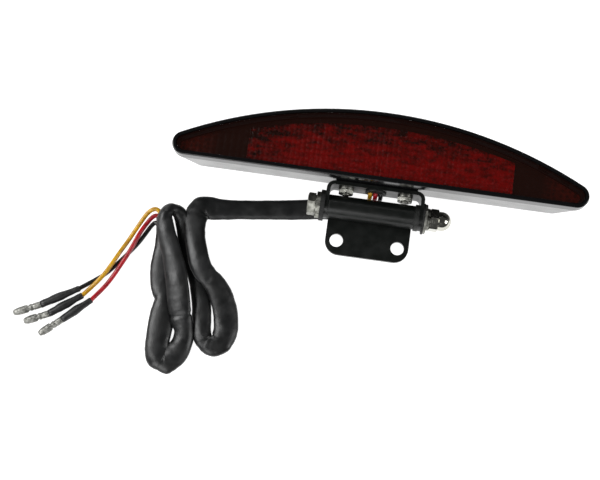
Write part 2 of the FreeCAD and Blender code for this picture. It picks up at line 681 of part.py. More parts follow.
def make_parts():
    """Every node of the assembly by name."""
    black_left = -EAR_OUT - BLACK_WASHER_LEFT
    steel_left = black_left - STEEL_WASHER_LEFT
    black_right = EAR_OUT + BLACK_WASHER_RIGHT
    steel_right = black_right + STEEL_WASHER_RIGHT
    cap_start = steel_right + SPRING_WASHER
    spacer_start = TUBE_RIGHT + BUSH_FLANGE + END_PLAY
    parts = {
        "housing": make_housing(),
        "lens": make_lens(),
        "lens_seal": make_lens_seal(),
        "reflector_tray": make_reflector_tray(),
        "circuit_board": make_circuit_board(),
        "leds": Part.makeCompound([make_led(x, y) for x, y in led_places()]),
        "resistors": make_back_parts(RESISTOR_PLACES, RESISTOR_RADIUS, RESISTOR_LENGTH),
        "input_diodes": make_back_parts(DIODE_PLACES, DIODE_RADIUS, DIODE_LENGTH),
        "board_screws": make_board_screws(),
        "clevis_bracket": make_clevis(),
        "bracket_studs": make_studs(),
        "stud_lock_washers": make_stud_washers(),
        "stud_nuts": make_stud_nuts(),
        "mount_plate": make_mount_plate(),
        "bush_left": make_bush(TUBE_LEFT, 1),
        "bush_right": make_bush(TUBE_RIGHT, -1),
        "spacer_washer": ring(STEEL_WASHER_RADIUS, WASHER_BORE_RADIUS, on_axis(spacer_start),
                              on_axis(EAR_IN - END_PLAY)),
        "pivot_bolt": make_pivot_bolt(steel_left),
        "black_washer_left": ring(BLACK_WASHER_RADIUS, WASHER_BORE_RADIUS, on_axis(black_left),
                                  on_axis(-EAR_OUT)),
        "steel_washer_left": ring(STEEL_WASHER_RADIUS, WASHER_BORE_RADIUS, on_axis(steel_left),
                                  on_axis(black_left)),
        "black_washer_right": ring(BLACK_WASHER_RADIUS, WASHER_BORE_RADIUS, on_axis(EAR_OUT),
                                   on_axis(black_right)),
        "steel_washer_right": ring(STEEL_WASHER_RIGHT_RADIUS, WASHER_BORE_RADIUS, on_axis(black_right),
                                   on_axis(steel_right)),
        "spring_washer": make_spring_washer(steel_right),
        "cap_nut": make_cap_nut(cap_start),
        "cable_grommet": make_grommet(),
        "cable_sleeve": flat_tube("sleeve", SLEEVE_ROUTE),
        "cable_hank": make_hank(),
    }
    for index, colour in ((-1, "yellow"), (0, "red"), (1, "black")):
        parts["lead_" + colour] = round_tube("lead " + colour, LEAD_RADIUS, lead_route(index))
    for colour, route in WIRE_ROUTES.items():
        boot_end = BOOT_ENDS[colour]
        parts["wire_" + colour] = round_tube("wire " + colour, LEAD_RADIUS, route)
        parts["boot_" + colour] = make_boot(route[-1], boot_end)
        parts["bullet_" + colour] = make_bullet(boot_end, BULLET_ENDS[colour])
    return parts


def main():
    os.makedirs("parts", exist_ok=True)
    for name, shape in make_parts().items():
        solids = shape.Solids
        assert solids and all(solid.isValid() and solid.isClosed() for solid in solids), name
        shape.exportStep("parts/" + name + ".step")
        print(name, len(solids), "solids", round(shape.Volume, 1), "mm3")


main()
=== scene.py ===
# %% [markdown]
# # Slim crescent tail light, lying on its back
#
# A thin LED tail light with a red lens, a bent steel bracket and a flat plate that swivels on a bolt.
# A sleeved cable leaves behind the bracket, is folded up beside the lamp and ends in three bullet
# connectors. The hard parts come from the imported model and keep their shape. This lesson gives them
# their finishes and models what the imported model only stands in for: the folded sleeve, the wires,
# the shrink boots, the bullets and the moulded optics behind the lens.

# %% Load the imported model
import math

import bmesh
import bpy
from mathutils import Matrix, Vector, noise


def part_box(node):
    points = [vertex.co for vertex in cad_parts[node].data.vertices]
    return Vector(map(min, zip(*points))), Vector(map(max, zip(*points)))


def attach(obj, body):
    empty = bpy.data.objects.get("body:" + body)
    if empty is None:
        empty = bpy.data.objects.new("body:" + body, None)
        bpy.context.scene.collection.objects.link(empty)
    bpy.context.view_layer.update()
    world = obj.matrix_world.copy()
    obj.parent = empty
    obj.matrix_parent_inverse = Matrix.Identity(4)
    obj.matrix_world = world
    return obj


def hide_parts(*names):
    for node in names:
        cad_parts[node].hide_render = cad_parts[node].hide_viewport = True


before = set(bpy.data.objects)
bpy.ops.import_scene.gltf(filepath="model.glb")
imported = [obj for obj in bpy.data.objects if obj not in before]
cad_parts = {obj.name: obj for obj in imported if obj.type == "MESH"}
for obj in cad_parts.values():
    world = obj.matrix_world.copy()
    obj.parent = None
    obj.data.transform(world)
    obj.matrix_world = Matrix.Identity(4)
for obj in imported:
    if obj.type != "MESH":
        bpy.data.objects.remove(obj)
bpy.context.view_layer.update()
MM = 0.001

# %% [markdown]
# ## The camera
#
# A small product like this is looked at from nearly overhead, a little from the bracket's side. The
# camera is placed by the angles round a target point, because angles are easier to think about than
# coordinates: the azimuth turns it round the lamp and the elevation lifts it above the bench.

# %% Camera
AZIMUTH = math.radians(8.042)
ELEVATION = math.radians(78)
DISTANCE = 0.600
TARGET = Vector((-33.79, -28.05, 0)) * MM
LENS_LENGTH = 72.64


def make_camera():
    data = bpy.data.cameras.new("camera")
    data.lens = LENS_LENGTH
    data.sensor_width = 36
    data.clip_start = 0.01
    camera = bpy.data.objects.new("camera", data)
    toward = Vector((math.sin(AZIMUTH) * math.cos(ELEVATION),
                     -math.cos(AZIMUTH) * math.cos(ELEVATION),
                     math.sin(ELEVATION)))
    camera.location = TARGET + toward * DISTANCE
    camera.rotation_euler = toward.to_track_quat("Z", "Y").to_euler()
    bpy.context.scene.collection.objects.link(camera)
    bpy.context.scene.camera = camera
    return camera


camera = make_camera()
print("camera at", [round(c, 4) for c in camera.location])

# %% [markdown]
# ## Cord lines
#
# A flexible cable never has corners, so its line is one smooth NURBS spline. The control points are
# the route's own points, in millimetres. A mesh tube and everything along the cord then read their
# points from that spline, so that they all follow the same line.

# %% Helpers for a cord's line
LINE_STEPS = 10


def cord_line(name, route):
    """A smooth curve of one open NURBS spline through a route given in millimetres."""
    data = bpy.data.curves.new(name, "CURVE")
    data.dimensions = "3D"
    spline = data.splines.new("NURBS")
    spline.points.add(len(route) - 1)
    for point, place in zip(spline.points, route):
        point.co = (place[0] * MM, place[1] * MM, place[2] * MM, 1)
    spline.order_u = 3
    spline.use_endpoint_u = True
    spline.resolution_u = LINE_STEPS
    return bpy.data.objects.new(name, data)


def points_on(line):
    """The points of a curve that has no bevel, in order, without the ones that repeat."""
    mesh = bpy.data.meshes.new_from_object(line)
    points = [mesh.vertices[0].co.copy()]
    for vertex in mesh.vertices[1:]:
        if (vertex.co - points[-1]).length > 0.05 * MM:
            points.append(vertex.co.copy())
    bpy.data.meshes.remove(mesh)
    return points


def length_of(points):
    return sum((b - a).length for a, b in zip(points, points[1:]))


def link(piece, body="lamp"):
    """Puts a finished piece in the scene and lets it move with a body."""
    if piece.name not in bpy.context.scene.collection.objects:
        bpy.context.scene.collection.objects.link(piece)
    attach(piece, body)
    return piece


# %% [markdown]
# ## The folded sleeve
#
# The three wires run in a soft black PVC sleeve. It is extruded as a round tube, flattens when it is
# packed, and keeps the creases of the folds. Each route point below therefore carries five numbers:
# its place, how wide the sleeve is there and how thick. The run under the bolt comes first, then the
# fold beside the lamp, the right lobe, the long strand that goes over everything, and the left lobe
# with the open mouth that the wires come out of.

# %% Sleeve route: x, y, z, width, thickness in millimetres
SLEEVE_ROUTE = [
    # under the rolled tube and out to the first fold
    (-9.0, -10.4, 2.0, 10.4, 4.0), (-20.0, -10.4, 2.0, 10.4, 4.0),
    (-36.0, -13.4, 2.1, 10.2, 4.0), (-51.0, -15.6, 2.1, 9.8, 4.0),
    (-65.0, -17.4, 2.2, 9.8, 4.0), (-76.6, -19.2, 2.6, 10.8, 4.2),
    (-82.6, -18.6, 3.2, 12.2, 4.4), (-86.4, -22.4, 4.0, 12.2, 4.8),
    # strand A, down to where it crosses the strand below
    (-85.8, -31.6, 6.2, 10.2, 4.6), (-82.9, -41.5, 7.4, 10.2, 4.4), (-79.4, -50.4, 7.6, 10.2, 4.2),
    # outer strand and turn of the right lobe
    (-73.6, -54.8, 6.6, 10.4, 4.8), (-67.8, -61.2, 5.0, 11.4, 5.0), (-64.4, -69.0, 4.2, 12.0, 4.8),
    (-62.8, -77.2, 4.0, 12.0, 5.0), (-64.0, -84.2, 4.0, 11.2, 5.4), (-68.8, -86.8, 4.0, 10.8, 5.6),
    (-73.4, -84.6, 4.0, 8.8, 6.0),
    # straight strand back up, under strand A
    (-74.9, -78.7, 3.8, 9.2, 5.4), (-76.0, -71.0, 3.4, 9.6, 4.6), (-77.6, -63.3, 2.8, 9.4, 4.0),
    (-80.4, -55.6, 2.2, 8.6, 3.6), (-84.4, -48.0, 2.2, 8.2, 3.6), (-87.6, -41.4, 2.4, 8.0, 3.8),
    (-90.2, -34.2, 2.8, 7.8, 4.2), (-92.4, -27.5, 3.8, 7.4, 5.0),
    # fold at the top
    (-94.4, -23.6, 5.4, 6.8, 5.4), (-98.4, -22.6, 7.2, 6.4, 5.8), (-101.0, -26.0, 8.9, 7.2, 5.6),
    # long strand over everything
    (-100.1, -32.0, 9.2, 8.8, 5.0), (-96.9, -39.4, 9.2, 9.8, 4.8), (-93.8, -46.8, 9.0, 10.6, 4.6),
    (-91.1, -54.2, 8.6, 11.6, 4.4), (-89.0, -61.8, 8.2, 12.0, 4.4), (-87.2, -69.0, 7.6, 12.0, 4.4),
    (-85.4, -75.6, 6.4, 11.2, 5.0), (-82.8, -80.8, 4.8, 9.6, 5.6),
    # turn of the left lobe
    (-82.6, -86.4, 4.0, 10.2, 6.0), (-85.4, -93.2, 4.0, 12.0, 5.6), (-90.4, -98.6, 4.0, 11.6, 5.6),
    (-94.6, -93.8, 4.0, 12.2, 5.6), (-95.0, -87.0, 4.0, 12.0, 5.6),
    # leftmost strand, up to the open mouth
    (-94.9, -80.4, 3.8, 12.4, 5.0), (-94.7, -73.2, 3.6, 12.0, 5.0), (-94.9, -67.0, 3.4, 9.6, 5.4),
    (-96.9, -61.0, 3.4, 12.2, 4.8), (-98.4, -52.8, 3.2, 12.6, 4.6), (-98.7, -44.8, 3.0, 11.2, 4.6),
    (-99.6, -37.4, 3.0, 9.4, 4.8), (-101.2, -31.4, 3.2, 7.4, 4.8), (-102.4, -26.8, 3.4, 6.6, 4.8),
]
sleeve_line = cord_line("sleeve_line", [row[:3] for row in SLEEVE_ROUTE])
sleeve_points = points_on(sleeve_line)
print("sleeve line", round(length_of(sleeve_points), 4), "m,", len(sleeve_points), "points")

# %% [markdown]
# A spline of order 3 with n control points has n - 2 stretches. Each control point has most say half
# a stretch after the last one, so a size that belongs to a control point is read off at that place.

# %% Sizes along the line

def share_at(index, count):
    """How far along the spline's stretches one of its points is."""
    return index / (count - 1) * (len(SLEEVE_ROUTE) - 2)


def size_at(place, column):
    """The width or thickness at a place along the stretches, blended between control points."""
    places = [0.0] + [i - 0.5 for i in range(1, len(SLEEVE_ROUTE) - 1)] + [len(SLEEVE_ROUTE) - 2.0]
    for i in range(len(places) - 1):
        if place <= places[i + 1]:
            part = (place - places[i]) / (places[i + 1] - places[i])
            return SLEEVE_ROUTE[i][column] * (1 - part) + SLEEVE_ROUTE[i + 1][column] * part
    return SLEEVE_ROUTE[-1][column]


# %% [markdown]
# The tube is grown ring by ring: one round loop of edges is extruded again and again, and each new
# loop is moved from the last section's frame to the next one's. The section's wide side stays as
# level as the line allows, because a flattened sleeve lies on its flat side.

# %% Grow the sleeve
RING_SIDES = 28
TABLE_GAP = 0.05 * MM
# how far the strand leans over, in degrees, at some of the route's points
LEANS = [
    (0, 0), (7, 0), (9, 5), (11, 0), (12, -8), (15, 0),
    (26, 0), (30, 16), (34, 18), (37, 0), (49, 0),
]
# the sharp folds: (place along the route, depth of the crease in millimetres)
CREASES = [
    (5.4, 0.5), (6.6, 0.4), (10.3, 0.6), (16.2, 0.5),
    (26.4, 0.5), (34.3, 0.8), (38.6, 0.6), (43.6, 0.6),
]
CREASE_WIDTH = 0.17
DENT_AMOUNT = 1.0 * MM
# noise scales for the broad dents, the fine ones and the unevenness of a crease
BROAD_GRAIN = 160
FINE_GRAIN = 420
CREASE_GRAIN = 190
# the mouth: how far it shrinks towards its middle and how far back inside it goes, in millimetres
MOUTH_STEPS = [(0.8, 0.0), (1.0, 5.0)]


def lean_at(place):
    """The strand's lean at a place along the stretches."""
    for (first, low), (second, high) in zip(LEANS, LEANS[1:]):
        if place <= second:
            return math.radians(low + (high - low) * (place - first) / (second - first))
    return 0.0


def section_frames(points):
    """One matrix per point: X across the sleeve, Y through its thickness, Z along it, at full size."""
    frames = []
    for i, point in enumerate(points):
        along = (points[min(i + 1, len(points) - 1)] - points[max(i - 1, 0)]).normalized()
        across = Vector((0, 0, 1)).cross(along).normalized()
        through = along.cross(across)
        place = share_at(i, len(points))
        width = size_at(place, 3) / 2 * MM
        thickness = size_at(place, 4) / 2 * MM
        lean = Matrix.Rotation(lean_at(place), 3, along)
        turn = Matrix((lean @ across * width, lean @ through * thickness, along)).transposed().to_4x4()
        frames.append(Matrix.Translation(point) @ turn)
    return frames


def grow_tube(bm, frames):
    """Extrudes a unit ring from frame to frame and leaves both ends open. Gives the last ring's edges."""
    ring = bmesh.ops.create_circle(bm, segments=RING_SIDES, radius=1, matrix=frames[0])["verts"]
    edges = list({edge for vertex in ring for edge in vertex.link_edges})
    for before, after in zip(frames, frames[1:]):
        grown = bmesh.ops.extrude_edge_only(bm, edges=edges)["geom"]
        verts = [item for item in grown if isinstance(item, bmesh.types.BMVert)]
        edges = [item for item in grown if isinstance(item, bmesh.types.BMEdge)
                 and all(vertex in verts for vertex in item.verts)]
        bmesh.ops.transform(bm, matrix=after @ before.inverted(), verts=verts)
    return edges


def crease_at(place):
    """How deep the nearest creases are at a place along the stretches."""
    return sum(depth * math.exp(-((place - middle) / CREASE_WIDTH) ** 2) for middle, depth in CREASES)


def crumple(bm, points, amount):
    """Small dents and creases, more of them where the line bends."""
    bend = []
    for i in range(len(points)):
        a = points[max(i - 4, 0)]
        b = points[i]
        c = points[min(i + 4, len(points) - 1)]
        bend.append((b - a).angle(c - b, 0) if a != b and b != c else 0)
    bm.verts.ensure_lookup_table()
    for k, vertex in enumerate(bm.verts):
        i = min(k // RING_SIDES, len(points) - 1)
        outward = (vertex.co - points[i]).normalized()
        dent = noise.noise(vertex.co * BROAD_GRAIN) * 0.35 + noise.noise(vertex.co * FINE_GRAIN) * 0.2
        vertex.co += outward * dent * amount * (0.5 + 2.2 * min(bend[i], 1.0))
        # a fold's crease is deeper on one side than on the other
        uneven = 0.55 + 0.9 * noise.noise(vertex.co * CREASE_GRAIN)
        vertex.co -= outward * crease_at(share_at(i, len(points))) * uneven * MM
        vertex.co.z = max(vertex.co.z, TABLE_GAP)


def smooth(piece):
    for face in piece.data.polygons:
        face.use_smooth = True
    return piece


def finish_mesh(bm, name):
    """Turns a bmesh into a smooth-shaded object at the origin."""
    mesh = bpy.data.meshes.new(name)
    bm.to_mesh(mesh)
    bm.free()
    return smooth(bpy.data.objects.new(name, mesh))


def make_sleeve():
    frames = section_frames(sleeve_points)
    bm = bmesh.new()
    last = grow_tube(bm, frames)
    crumple(bm, sleeve_points, DENT_AMOUNT)
    first = [edge for edge in bm.edges if edge.is_boundary and edge not in last]
    # the mouth turns in to the wall's thickness and goes back down inside, where it is closed
    for edges, frame_at, inward in ((last, frames[-1], -1), (first, frames[0], 1)):
        rim = edges
        for shrink, back in MOUTH_STEPS:
            grown = bmesh.ops.extrude_edge_only(bm, edges=rim)["geom"]
            verts = [item for item in grown if isinstance(item, bmesh.types.BMVert)]
            rim = [item for item in grown if isinstance(item, bmesh.types.BMEdge)
                   and all(vertex in verts for vertex in item.verts)]
            step = Matrix.Translation((0, 0, back * MM * inward)) @ Matrix.Diagonal((shrink, shrink, 1, 1))
            bmesh.ops.transform(bm, matrix=frame_at @ step @ frame_at.inverted(), verts=verts)
        bmesh.ops.contextual_create(bm, geom=rim)
    bmesh.ops.recalc_face_normals(bm, faces=bm.faces)
    return finish_mesh(bm, "cable_sleeve_folded")


sleeve = link(make_sleeve())
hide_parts("cable_sleeve", "cable_hank")
print("sleeve faces:", len(sleeve.data.polygons))

# %% [markdown]
# ## The wires
#
# Three stranded automotive wires with thin PVC insulation leave the mouth of the sleeve. A round wire
# needs no mesh of its own: a curve with a round bevel is already what it is. Red crosses over black,
# and yellow ends up between them.

# %% Wires
WIRE_RADIUS = 1.1 * MM
WIRE_ROUTES = {
    "yellow": [
        (-102.2, -30.2, 4.0), (-103.4, -25.2, 5.6), (-106.2, -23.4, 6.3), (-109.6, -25.4, 5.4),
        (-112.3, -30.0, 3.9), (-114.9, -34.9, 2.6), (-117.8, -41.0, 1.8), (-120.6, -46.9, 2.6),
        (-123.0, -52.8, 3.7), (-125.5, -58.0, 3.8), (-128.3, -62.4, 3.6), (-131.9, -66.6, 2.0),
        (-135.4, -70.9, 2.1),
    ],
    "red": [
        (-102.8, -30.6, 2.6), (-104.2, -26.2, 3.4), (-107.2, -26.7, 3.4), (-110.0, -30.9, 2.6),
        (-112.4, -36.3, 3.5), (-114.5, -42.8, 3.9), (-116.7, -48.6, 3.9), (-119.3, -54.0, 3.4),
        (-122.2, -59.6, 1.7), (-126.0, -66.1, 1.2), (-130.7, -72.5, 2.1),
    ],
    "black": [
        (-104.0, -31.2, 2.2), (-105.6, -29.0, 1.4), (-107.6, -31.2, 1.2), (-109.8, -35.6, 1.2),
        (-112.8, -41.4, 1.2), (-117.0, -47.2, 1.2), (-121.3, -52.9, 1.2), (-125.4, -58.0, 1.2),
        (-130.4, -62.2, 1.2), (-137.5, -67.7, 2.1),
    ],
}
BOOT_ENDS = {
    "yellow": (-149.8, -81.9, 2.1), "red": (-143.0, -83.9, 2.1), "black": (-154.4, -78.0, 2.1),
}
BULLET_ENDS = {
    "yellow": (-161.2, -87.4, 1.95), "red": (-152.8, -92.4, 1.95), "black": (-167.0, -84.0, 1.95),
}


def make_wire(colour):
    wire = cord_line("wire_" + colour + "_insulated", WIRE_ROUTES[colour])
    # each point carries the radius and the bevel multiplies it by one, so the curve's bounds are true
    for point in wire.data.splines[0].points:
        point.radius = WIRE_RADIUS
    wire.data.bevel_depth = 1.0
    wire.data.bevel_resolution = 4
    wire.data.use_fill_caps = True
    return wire


wires = {}
for colour in WIRE_ROUTES:
    bare_line = cord_line("line", WIRE_ROUTES[colour])
    length_of(points_on(bare_line))
    bpy.data.objects.remove(bare_line)
    wires[colour] = link(make_wire(colour))
    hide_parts("wire_" + colour)

# %% [markdown]
# ## Shrink boots and bullet connectors
#
# Each wire ends in a crimped bullet. A length of heat-shrink tubing covers the crimp, and it swells
# where the crimp is widest. Both are turned shapes: a profile of radius against length, spun once
# round its axis and then laid along the wire's end.

# %% Helper for turned pieces
SPIN_STEPS = 32


def spun(name, profile, start, end):
    """Spins (radius, share of length) pairs in millimetres round the line from start to end."""
    start = Vector(start) * MM
    end = Vector(end) * MM
    length = (end - start).length
    bm = bmesh.new()
    verts = [bm.verts.new((radius * MM, 0, share * length)) for radius, share in profile]
    edges = [bm.edges.new(pair) for pair in zip(verts, verts[1:])]
    bmesh.ops.spin(bm, geom=verts + edges, axis=(0, 0, 1), cent=(0, 0, 0), angle=math.tau,
                   steps=SPIN_STEPS, use_merge=True)
    bmesh.ops.remove_doubles(bm, verts=bm.verts, dist=1e-7)
    bmesh.ops.recalc_face_normals(bm, faces=bm.faces)
    lay = (end - start).to_track_quat("Z", "Y").to_matrix().to_4x4()
    bmesh.ops.transform(bm, matrix=Matrix.Translation(start) @ lay, verts=bm.verts)
    return finish_mesh(bm, name)


# %% Boots and bullets
BOOT_PROFILE = [(0, -0.02), (1.25, -0.02), (1.45, 0.0), (1.5, 0.1), (1.6, 0.2), (1.75, 0.32), (2.05, 0.46),
                (2.1, 0.56), (2.05, 0.68), (1.85, 0.78), (1.8, 0.9), (1.78, 1.0), (1.4, 1.01), (0, 1.01)]
BULLET_PROFILE = [(0, 0.0), (1.62, 0.0), (1.66, 0.05), (1.66, 0.24), (1.5, 0.26), (1.5, 0.3), (1.7, 0.32),
                  (1.7, 0.38), (1.35, 0.41), (1.35, 0.45), (1.9, 0.49), (1.95, 0.56), (1.92, 0.72),
                  (1.75, 0.86), (1.45, 0.95), (1.15, 0.99), (0.75, 1.0), (0.75, 0.97), (0, 0.97)]


def wrinkle(piece, amount, grain):
    """Shrunk tubing is never quite even: each point moves a little in or out."""
    mesh = piece.data
    for vertex in mesh.vertices:
        vertex.co += vertex.normal * noise.noise(vertex.co * grain) * amount
    return piece


boots = {}
bullets = {}
for colour in WIRE_ROUTES:
    boot_start = WIRE_ROUTES[colour][-1]
    boot = spun("boot_" + colour + "_shrunk", BOOT_PROFILE, boot_start, BOOT_ENDS[colour])
    boots[colour] = link(wrinkle(boot, 0.22 * MM, 700))
    bullets[colour] = link(spun("bullet_" + colour + "_crimped", BULLET_PROFILE, BOOT_ENDS[colour],
                                BULLET_ENDS[colour]))
    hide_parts("boot_" + colour)
    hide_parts("bullet_" + colour)
print("boots and bullets:", len(boots) + len(bullets))

# %% [markdown]
# ## The optics behind the lens
#
# The lens is a flat plate of clear red PMMA. Behind it the moulding carries rows of small pillow
# lenses that spread the light of each LED; round them the same moulding is painted darker, as painted
# shade. The pillows are a fine grid whose points are pushed up in a sine pattern, cut to shape with
# straight cuts. Around a curve, many straight cuts make a smooth edge.

# %% Size of the lamp's outline
LENS_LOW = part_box("lens")[0]
TRAY_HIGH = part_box("reflector_tray")[1]
HOUSING_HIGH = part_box("housing")[1]
LEDGE = 3.3 * MM
# how far the two sheets lie behind the lens, how high their pillows are and how far apart
INSERT_DEPTH = 1.4 * MM
INSERT_PILLOW = 0.45 * MM
INSERT_PITCH = 2.45 * MM
MASK_DEPTH = 2.4 * MM
MASK_PILLOW = 0.3 * MM
MASK_PITCH = 3.2 * MM
# the insert keeps this far from the mask's arch, and its ends are this high
INSERT_MARGIN = 3 * MM
INSERT_END_Y = 19 * MM
SHEET_THICKNESS = 0.7 * MM
TIP_RADIUS = 5.85 * MM
half_length = HOUSING_HIGH[0]
crown_y = HOUSING_HIGH[1]
tip_x = half_length - TIP_RADIUS
arch_radius = (tip_x ** 2 + crown_y ** 2 - 2 * TIP_RADIUS * crown_y) / (2 * crown_y - 4 * TIP_RADIUS)
print("arch radius", round(arch_radius, 4), "m")

# %% Pillow sheets

def cut_away(bm, place, outward):
    """Removes all that lies beyond a plane."""
    geom = bm.verts[:] + bm.edges[:] + bm.faces[:]
    bmesh.ops.bisect_plane(bm, geom=geom, plane_co=place, plane_no=outward, clear_outer=True)


def cut_round(bm, centre, radius, first, last, cuts):
    """Straight cuts that follow an arc, between two angles."""
    for i in range(cuts + 1):
        angle = math.radians(first + (last - first) * i / cuts)
        outward = Vector((math.cos(angle), math.sin(angle), 0))
        cut_away(bm, Vector(centre) + outward * radius, outward)


def pillow_sheet(x, low_y, high_y, z, pitch, height):
    """A grid between -x and x whose points rise into one pillow per pitch."""
    bm = bmesh.new()
    columns = int(2 * x / pitch) * 6
    rows = int((high_y - low_y) / pitch) * 6
    bmesh.ops.create_grid(bm, x_segments=columns, y_segments=rows, size=0.5)
    bmesh.ops.scale(bm, vec=(2 * x, high_y - low_y, 1), verts=bm.verts)
    bmesh.ops.translate(bm, vec=(0, (low_y + high_y) / 2, z), verts=bm.verts)
    for vertex in bm.verts:
        across = abs(math.sin(math.pi * vertex.co.x / pitch))
        up = abs(math.sin(math.pi * (vertex.co.y - low_y) / pitch))
        vertex.co.z += height * (across * up) ** 0.6
    return bm


def make_insert():
    """The optic block over the LEDs, its finish painted bright as lit: straight bottom and ends, shallow
    crown.
    """
    x = TRAY_HIGH[0]
    high_y = crown_y - LEDGE - INSERT_MARGIN
    bm = pillow_sheet(x, LEDGE, high_y, LENS_LOW[2] - INSERT_DEPTH, INSERT_PITCH, INSERT_PILLOW)
    rise = high_y - INSERT_END_Y
    radius = (x ** 2 + rise ** 2) / (2 * rise)
    span = math.degrees(math.asin(x / radius))
    cut_round(bm, (0, high_y - radius, 0), radius, 90 - span, 90 + span, 24)
    return finish_mesh(bm, "lens_optics_insert")


def make_mask():
    """The rest of the moulding that fills the crescent, its finish painted dark as shade."""
    x = half_length - LEDGE
    bm = pillow_sheet(x, LEDGE, crown_y - LEDGE, LENS_LOW[2] - MASK_DEPTH, MASK_PITCH, MASK_PILLOW)
    radius = arch_radius - LEDGE
    span = math.degrees(math.asin(tip_x / arch_radius))
    cut_round(bm, (0, crown_y - arch_radius, 0), radius, 90 - span, 90 + span, 30)
    for side in (-1, 1):
        centre = (side * tip_x, TIP_RADIUS, 0)
        first, last = (-90, 90 - span) if side > 0 else (270, 90 + span)
        cut_round(bm, centre, TIP_RADIUS - LEDGE, first, last, 10)
    return finish_mesh(bm, "lens_optics_mask")


insert = link(make_insert())
mask = link(make_mask())
for sheet in (insert, mask):
    solid = sheet.modifiers.new("thickness", "SOLIDIFY")
    solid.thickness = SHEET_THICKNESS
    solid.offset = -1
print("pillow faces:", len(insert.data.polygons), len(mask.data.polygons))

# %% [markdown]
# ## Finishes
#
# Every finish starts from what the material is and how its surface was made. Colours are written as
# sRGB hex values and turned to linear light once, by one function. Patterns are sized in millimetres:
# a noise texture's scale is one over the size of its lumps. All of them read Object coordinates,
# which stay on the piece when it moves.

# %% Helpers for materials

def linear(hex_colour):
    """An sRGB hex colour as linear red, green, blue and alpha."""
    channels = [int(hex_colour[i:i + 2], 16) / 255 for i in (1, 3, 5)]
    return tuple(c / 12.92 if c <= 0.04045 else ((c + 0.055) / 1.055) ** 2.4 for c in channels) + (1.0,)


def add_node(tree, kind, inputs=(), **settings):
    """Adds a node, sets its properties, and sets or links its inputs."""
    made = tree.nodes.new(kind)
    for name, value in settings.items():
        setattr(made, name, value)
    for socket, value in dict(inputs).items():
        if isinstance(value, bpy.types.NodeSocket):
            tree.links.new(value, made.inputs[socket])
        else:
            made.inputs[socket].default_value = value
    return made


def per_mm(size):
    """Noise scale for lumps of a size in millimetres, on coordinates in metres."""
    return 1 / (size * MM)


def start_finish(name, colour, roughness, ior=1.5, metallic=0.0):
    """A material with a Principled shader. Gives it, its tree, its shader and object coordinates."""
    material = bpy.data.materials.new(name)
    material.use_nodes = True
    tree = material.node_tree
    tree.nodes.clear()
    shader = add_node(tree, "ShaderNodeBsdfPrincipled")
    shader.inputs["Base Color"].default_value = linear(colour)
    shader.inputs["Roughness"].default_value = roughness
    shader.inputs["Metallic"].default_value = metallic
    if metallic < 0.5:
        shader.inputs["IOR"].default_value = ior
    add_node(tree, "ShaderNodeOutputMaterial", {"Surface": shader.outputs[0]})
    place = add_node(tree, "ShaderNodeTexCoord").outputs["Object"]
    return material, tree, shader, place


def add_grain(tree, shader, place, size, depth, detail=2.0):
    """A bump of lumps of a size and a depth in millimetres."""
    lumps = add_node(tree, "ShaderNodeTexNoise", {"Vector": place, "Scale": per_mm(size), "Detail": detail})
    bump = add_node(tree, "ShaderNodeBump", {"Height": lumps.outputs[0], "Distance": depth * MM})
    tree.links.new(bump.outputs[0], shader.inputs["Normal"])
    return lumps.outputs[0]


def vary(tree, shader, socket, place, size, low, high, detail=3.0):
    """Lets a number on the shader wander between two values in patches of a size in millimetres."""
    patches = add_node(tree, "ShaderNodeTexNoise", {"Vector": place, "Scale": per_mm(size),
                                                    "Detail": detail})
    spread = add_node(tree, "ShaderNodeMapRange", {"Value": patches.outputs[0], "From Min": 0.35,
                                                   "From Max": 0.65, "To Min": low, "To Max": high})
    tree.links.new(spread.outputs[0], shader.inputs[socket])


def vary_colour(tree, shader, place, size, first, second, detail=3.0):
    """Lets the colour wander between two hex colours in patches of a size in millimetres."""
    patches = add_node(tree, "ShaderNodeTexNoise", {"Vector": place, "Scale": per_mm(size),
                                                    "Detail": detail})
    ramp = add_node(tree, "ShaderNodeValToRGB", {"Fac": patches.outputs[0]})
    ramp.color_ramp.elements[0].position = 0.38
    ramp.color_ramp.elements[0].color = linear(first)
    ramp.color_ramp.elements[1].position = 0.64
    ramp.color_ramp.elements[1].color = linear(second)
    tree.links.new(ramp.outputs[0], shader.inputs["Base Color"])


# %% [markdown]
# ### Black plastics
#
# The housing is injection-moulded ABS from a polished tool: nearly black, with a fairly sharp
# reflection that the flow of the plastic softens a little. The bushes are nylon, which is duller.

# %% Housing, bushes

def moulded_abs():
    """Gloss black ABS: mirror-like at a low angle, faintly wavy where the wall shrank as it cooled."""
    material, tree, shader, place = start_finish("gloss_black_moulded_abs", "#080809", 0.16, ior=1.54)
    vary(tree, shader, "Roughness", place, 9, 0.13, 0.2)
    add_grain(tree, shader, place, 14, 0.03)
    return material


def moulded_nylon():
    """Black nylon straight from the mould: a dull sheen with a fine spark-eroded grain."""
    material, tree, shader, place = start_finish("black_moulded_nylon", "#0C0E0C", 0.5, ior=1.53)
    add_grain(tree, shader, place, 0.3, 0.01)
    vary(tree, shader, "Roughness", place, 2, 0.42, 0.58)
    return material


abs_black = moulded_abs()
nylon = moulded_nylon()
print("plastics:", abs_black.name, nylon.name)

# %% [markdown]
# ### Clear red lens and its optics
#
# The lens is dyed PMMA with a polished face. A ray loses most of its green and blue on the way in and
# out, so what lies behind shows as deep red. The plate is thin and flat, so it is made as a partly
# see-through surface, which lets light reach the optics behind it. The pillows' glints are painted
# into their colour as bright specks, with painted shade towards the top and the left end; the rest of
# the moulding is painted dark as shade, with painted light at its tips.

# %% Lens, insert and mask

def dyed_pmma():
    """Clear red acrylic with a polished face over a dark space."""
    material, tree, shader, place = start_finish("clear_red_dyed_pmma", "#1E0A06", 0.04, ior=1.49)
    shader.inputs["Alpha"].default_value = 0.42
    vary(tree, shader, "Roughness", place, 12, 0.03, 0.07)
    return material


